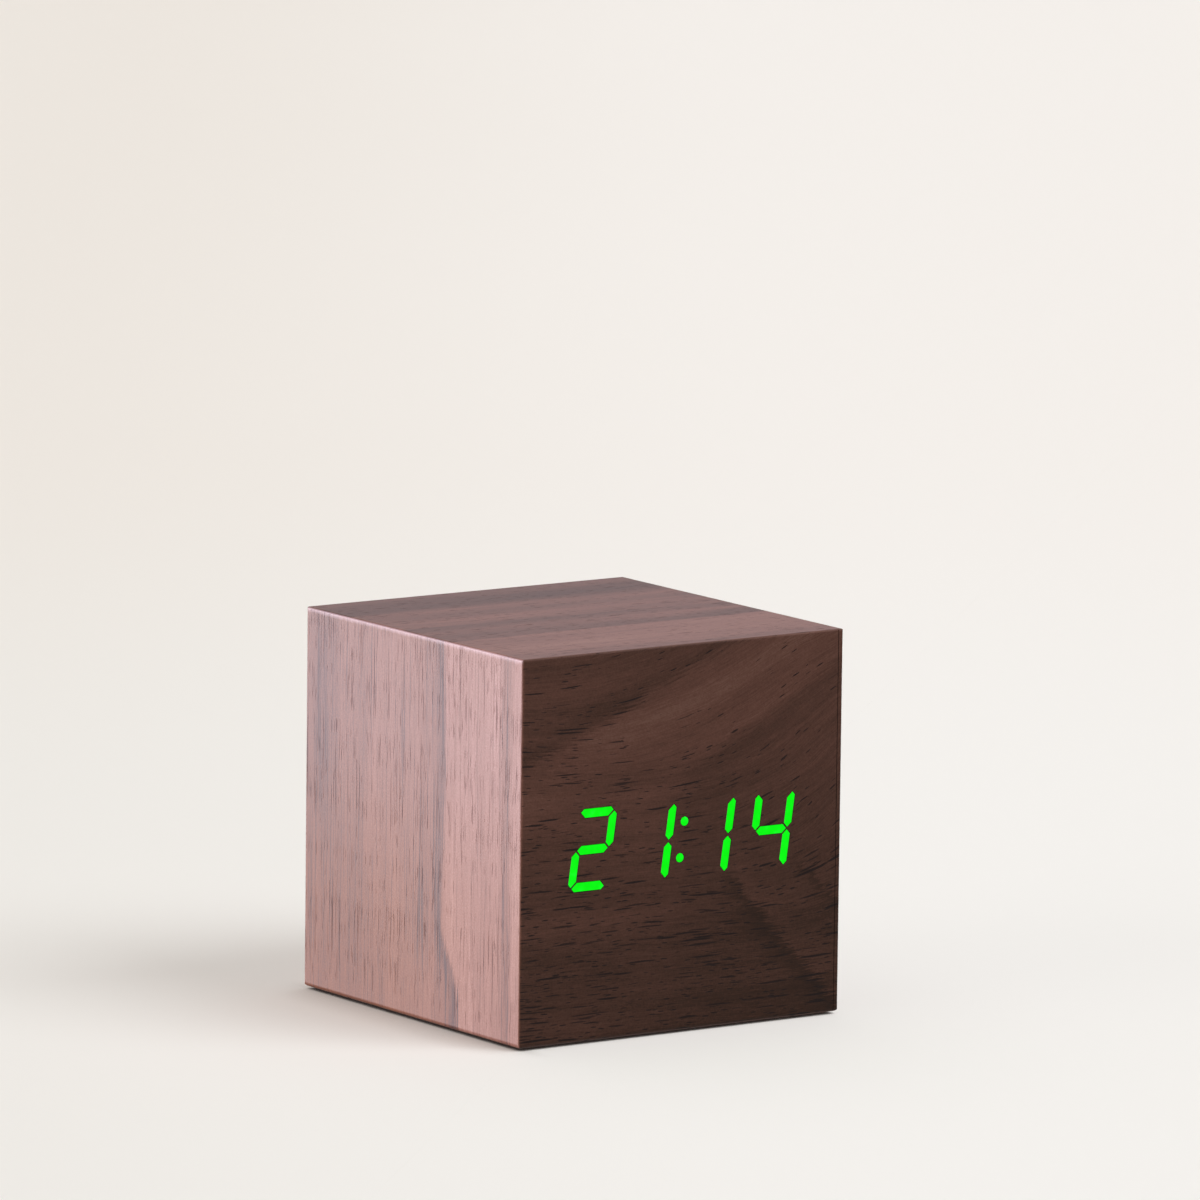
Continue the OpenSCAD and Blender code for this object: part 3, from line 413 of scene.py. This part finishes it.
# The right veneer's strip on the front carries the front's grain, and its wall in the seam gets painted shade, a
# near-black material
wrapped = nodes["right_veneer"].data
wrapped.materials.append(bpy.data.materials["walnut_front"])
wrapped.materials.append(moulded("seam_painted_shade", tone(10, 8, 7), tone(16, 12, 10), 0.9, specular_ior_level=0.0))
for polygon in wrapped.polygons:
    if polygon.normal.y < -0.6:
        polygon.material_index = 1
    elif polygon.normal.x < -0.5:
        polygon.material_index = 2


def fibreboard():
    g = Graph("fibreboard")
    place = g.vector(*g.place())
    fleck = g.noise(place, 2.2, 4.0, 0.7)
    cloud = g.noise(place, 0.12, 2.0)
    browns = [(0.35, tone(128, 96, 68)), (0.7, tone(170, 134, 98)), (1.0, tone(196, 162, 124))]
    colour = g.ramp(g.add(fleck, g.times(cloud, 0.4)), browns)
    g.bump(fleck, 0.06, 0.6)
    return g.finish(colour, g.math("MULTIPLY_ADD", fleck, 0.15, 0.75))


paint(fibreboard(), *[side + "_panel" for side in ("front", "left", "right", "top", "rear", "base")])


# Lit bars
def lit_green():
    g = Graph("lit_green")
    place = g.vector(*g.place())
    spot = g.noise(place, 0.55, 2.0)
    glow = g.ramp(spot, [(0.3, tone(0, 244, 10)), (0.6, tone(4, 252, 18)), (0.8, tone(34, 255, 60))])
    # Emission only on faces that look forward: the bars' sides stay unlit, painted shade that darkens the gaps
    # round the bars
    facing = g.node_out("ShaderNodeSeparateXYZ", g.node("ShaderNodeNewGeometry").outputs["True Normal"])[1]
    g.put(g.shader.inputs["Emission Color"], g.mix(g.math("LESS_THAN", facing, -0.5), tone(0, 0, 0), glow))
    g.shader.inputs["Emission Strength"].default_value = 1.0
    return g.finish(tone(4, 22, 6), g.math("MULTIPLY_ADD", spot, 0.2, 0.4), specular_ior_level=0.05)


paint(lit_green(), "lit_segments")


# Plastics, metals, boards and wires
def metal(name, dark, light, roughness):
    """Plated metal with faint drawn lines."""
    g = Graph(name)
    x, y, z = g.place()
    lines = g.noise(g.vector(g.times(x, 0.4), g.times(y, 6.0), g.times(z, 6.0)), 1.0, 2.0)
    colour = g.mix(g.fade(lines, 0.35, 0.65), dark, light)
    g.bump(lines, 0.01, 0.4)
    return g.finish(colour, g.math("MULTIPLY_ADD", lines, 0.2, roughness - 0.1), metallic=1.0)


def board():
    """Circuit board: green lacquer over copper tracks that run in steps."""
    g = Graph("board_green")
    x, y, z = g.place()
    track = g.noise(g.vector(g.math("SNAP", x, 1.27), g.math("SNAP", z, 1.27), 4.0), 0.35, 1.0)
    turned = g.times(g.math("GREATER_THAN", track, 0.5), g.math("SUBTRACT", z, x))
    lane = g.math("PINGPONG", g.add(x, turned), 0.635)
    copper = g.times(g.fade(lane, 0.3, 0.36), g.fade(track, 0.44, 0.48))
    colour = g.mix(copper, tone(16, 82, 44), tone(40, 118, 62))
    g.bump(copper, 0.03, 0.7)
    return g.finish(colour, g.math("MULTIPLY_ADD", copper, 0.1, 0.28))


def sleeve():
    """Cell sleeve: plain colour with a paler band at the nub's end, and bare metal at both ends."""
    g = Graph("cell_sleeve")
    x, y, z = g.place()
    row = g.math("SIGN", g.math("SUBTRACT", g.math("ABSOLUTE", y), 5.4))
    toward = g.times(x, row)
    grain = g.noise(g.vector(x, y, z), 1.4, 2.0)
    band = g.fade(toward, 12.0, 12.2)
    colour = g.mix(band, tone(38, 104, 88), tone(206, 196, 164))
    ends = g.fade(g.math("ABSOLUTE", x), 20.6, 20.8)
    colour = g.mix(ends, colour, tone(176, 178, 180))
    g.put(g.shader.inputs["Metallic"], ends)
    return g.finish(colour, g.math("MULTIPLY_ADD", grain, 0.14, 0.26))


steel = metal("steel", tone(150, 150, 154), tone(206, 207, 210), 0.32)
paint(
    steel,
    "display_screws", "bezel_screws", "control_screws", "tray_screws",
    "clock_crystal", "contact_plates", "contact_springs",
)
paint(metal("pin_brass", tone(176, 142, 78), tone(222, 192, 120), 0.26), "socket_pin")
paint(board(), "display_board", "control_board")
paint(sleeve(), "battery_cells")
paint(moulded("diffuser", tone(214, 224, 210), tone(236, 240, 230), 0.45), "segment_diffusers")
paint(moulded("reflector", tone(48, 48, 50), tone(66, 66, 68), 0.6), "reflector_block")
paint(moulded("chip_yellow", tone(206, 190, 96), tone(232, 220, 140), 0.25), "led_chips")
paint(
    moulded("chip_black", tone(14, 14, 15), tone(26, 26, 28), 0.55),
    "controller_chip", "buzzer", "switch_bodies", "set_plunger", "up_plunger", "down_plunger",
)
paint(moulded("can_blue", tone(18, 24, 56), tone(30, 40, 82), 0.3), "capacitors")
paint(moulded("ivory_plastic", tone(214, 206, 180), tone(232, 226, 204), 0.4), "display_header", "control_header")
paint(moulded("ribbon_grey", tone(118, 118, 122), tone(142, 142, 146), 0.55), "ribbon_cable")
paint(
    moulded("black_plastic", tone(17, 17, 19), tone(29, 29, 31), 0.55, 0.3, 0.04, specular_ior_level=0.3),
    "control_bezel", "battery_tray", "battery_door",
)
paint(moulded("socket_black", tone(11, 11, 12), tone(20, 20, 22), 0.3), "power_socket")
paint(moulded("button_grey", tone(72, 72, 76), tone(90, 90, 94), 0.42), "set_button", "up_button", "down_button")
paint(moulded("red_wire", tone(150, 22, 18), tone(182, 34, 28), 0.4), "red_lead")
paint(moulded("black_wire", tone(15, 15, 16), tone(26, 26, 28), 0.4), "black_lead")
paint(moulded("foot_rubber", tone(24, 24, 25), tone(38, 38, 40), 0.8, 0.4, 0.05), "rubber_feet")


# Floor
def rays(g, *kinds):
    """1 where light takes one of these paths, such as Camera for what the camera sees, and 0 elsewhere."""
    path = g.node("ShaderNodeLightPath").outputs
    found = 0.0
    for kind in kinds:
        found = g.math("MAXIMUM", found, path["Is %s Ray" % kind])
    return found


LEFTWARD = (-0.825, 0.565)  # along the floor, as the main picture shows it
FORWARD = (-0.567, -0.824)


def studio_floor():
    """Pale matt sheet with painted light: dimmer and warmer at the left and far off, a painted contact shadow
    where the clock hides it from the room, a wider painted shadow beside its left face, and clear from below. It
    bounces less light than the camera sees of it."""
    g = Graph("studio_floor")
    x, y, z = g.place()
    drift = g.noise(g.vector(x, y, z), 0.002, 2.0)
    leftward = g.add(g.times(x, LEFTWARD[0]), g.times(y, LEFTWARD[1]), g.times(drift, 40.0))
    forward = g.add(g.times(x, FORWARD[0]), g.times(y, FORWARD[1]))
    # Painted light: the sheet is tinted dimmer and warmer toward the left and far off
    warmth = g.fade(leftward, -60.0, 180.0)
    far_off = g.mix(warmth, tone(247, 248, 245), tone(239, 238, 232))
    close_by = g.mix(warmth, tone(247, 250, 248), tone(239, 241, 237))
    seen = g.mix(g.fade(forward, -700.0, -150.0), far_off, close_by)
    # Painted shadow: a wide dark tint beside the clock's left face, where the open sky is cut off
    painted_left_shadow = g.times(g.fade(g.open_sky(14.0), 0.9, 0.5), g.fade(x, 4.0 - HALF, -HALF, 0.0, 0.32))
    seen = g.mix(painted_left_shadow, seen, tone(120, 112, 102))
    # Painted contact shadow: near-black where the clock stands close over the sheet
    seen = g.mix(g.fade(g.open_sky(4.5), 0.05, 0.6), tone(58, 53, 50), seen)
    colour = g.mix(rays(g, "Camera", "Glossy", "Transmission"), tone(118, 112, 106), seen)
    either = g.node("ShaderNodeMixShader")
    below = g.node("ShaderNodeNewGeometry").outputs["Backfacing"]
    g.put(either.inputs[0], g.math("MAXIMUM", below, rays(g, "Shadow")))
    g.put(either.inputs[1], g.shader.outputs[0])
    g.put(either.inputs[2], g.node("ShaderNodeBsdfTransparent").outputs[0])
    g.put(g.tree.nodes["Material Output"].inputs["Surface"], either.outputs[0])
    return g.finish(colour, 0.9, specular_ior_level=0.0)


FLOOR_REACH = 6.0
FLOOR_DROP = 0.00002
corners = [(x * FLOOR_REACH, y * FLOOR_REACH, 0) for x, y in ((-1, -1), (1, -1), (1, 1), (-1, 1))]
sheet = bpy.data.meshes.new("studio_floor")
sheet.from_pydata(corners, [], [(0, 1, 2, 3)])
floor = bpy.data.objects.new("studio_floor", sheet)
floor.location.z = -FLOOR_DROP
bpy.context.scene.collection.objects.link(floor)
sheet.materials.append(studio_floor())


# Light
def sun(name, toward, strength, degrees, colour=(1.0, 1.0, 1.0), shadow=True):
    """Soft light that falls from a far point in direction toward."""
    lamp = bpy.data.lights.new(name, "SUN")
    lamp.energy = strength
    lamp.angle = math.radians(degrees)
    lamp.color = colour
    lamp.use_shadow = shadow
    placed = bpy.data.objects.new(name, lamp)
    placed.rotation_euler = Vector(toward).to_track_quat("Z", "Y").to_euler()
    bpy.context.scene.collection.objects.link(placed)


sun("far_window", (-0.56, 0.82, 0.0), 4.5, 24, (1.0, 0.86, 0.91), shadow=False)
sun("near_window", (-0.95, 0.1, 0.3), 3.5, 40, (1.0, 0.92, 0.9), shadow=False)
sun("key", (0.537, -0.843, 1.0), 1.25, 38, (0.98, 0.98, 1.0))
sun("overhead", (0.1, 0.35, 1.0), 0.46, 70, (1.0, 0.98, 0.97), shadow=False)
sun("from_below", (0.1, 0.2, -1.0), 0.7, 60)

world = bpy.data.worlds.new("studio")
bpy.context.scene.world = world
sky = Graph("studio", world)
haze = sky.mix(rays(sky, "Glossy"), dimmed(tone(252, 243, 228), 0.17), tone(250, 234, 242))
pale = sky.mix(rays(sky, "Camera", "Transmission"), haze, tone(243, 240, 235))
sky.put(sky.tree.nodes["Background"].inputs["Color"], pale)

# Camera: where it stands, its roll, and the place in the 1200 by 1200 picture of the middle of the clock
FRAME_PX = 1200
FOCAL_PX = 11677.0
AZIMUTH, ELEVATION, ROLL = (math.radians(a) for a in (-34.51, 8.98, 0.68))
DISTANCE = 30.0 * cad_high.z
MIDDLE_U, MIDDLE_V = 571.9, 809.5

flat = math.cos(ELEVATION)
back = Vector((math.sin(AZIMUTH) * flat, -math.cos(AZIMUTH) * flat, math.sin(ELEVATION)))
level = Vector((math.cos(AZIMUTH), math.sin(AZIMUTH), 0))
upward = back.cross(level)
right = level * math.cos(ROLL) + upward * math.sin(ROLL)
up = upward * math.cos(ROLL) - level * math.sin(ROLL)
target = Vector((0, 0, cad_high.z / 2))
shift_u, shift_v = ((m - FRAME_PX / 2) / FOCAL_PX * DISTANCE for m in (MIDDLE_U, MIDDLE_V))
stand = target + back * DISTANCE - right * shift_u + up * shift_v

lens = bpy.data.cameras.new("camera")
lens.sensor_width = 36
lens.lens = FOCAL_PX / FRAME_PX * lens.sensor_width
lens.clip_start, lens.clip_end = 0.05, 50
camera = bpy.data.objects.new("camera", lens)
camera.matrix_world = Matrix.Translation(stand) @ Matrix((right, up, back)).transposed().to_4x4()
bpy.context.scene.collection.objects.link(camera)
bpy.context.scene.camera = camera
bpy.context.scene.view_settings.view_transform = "Standard"
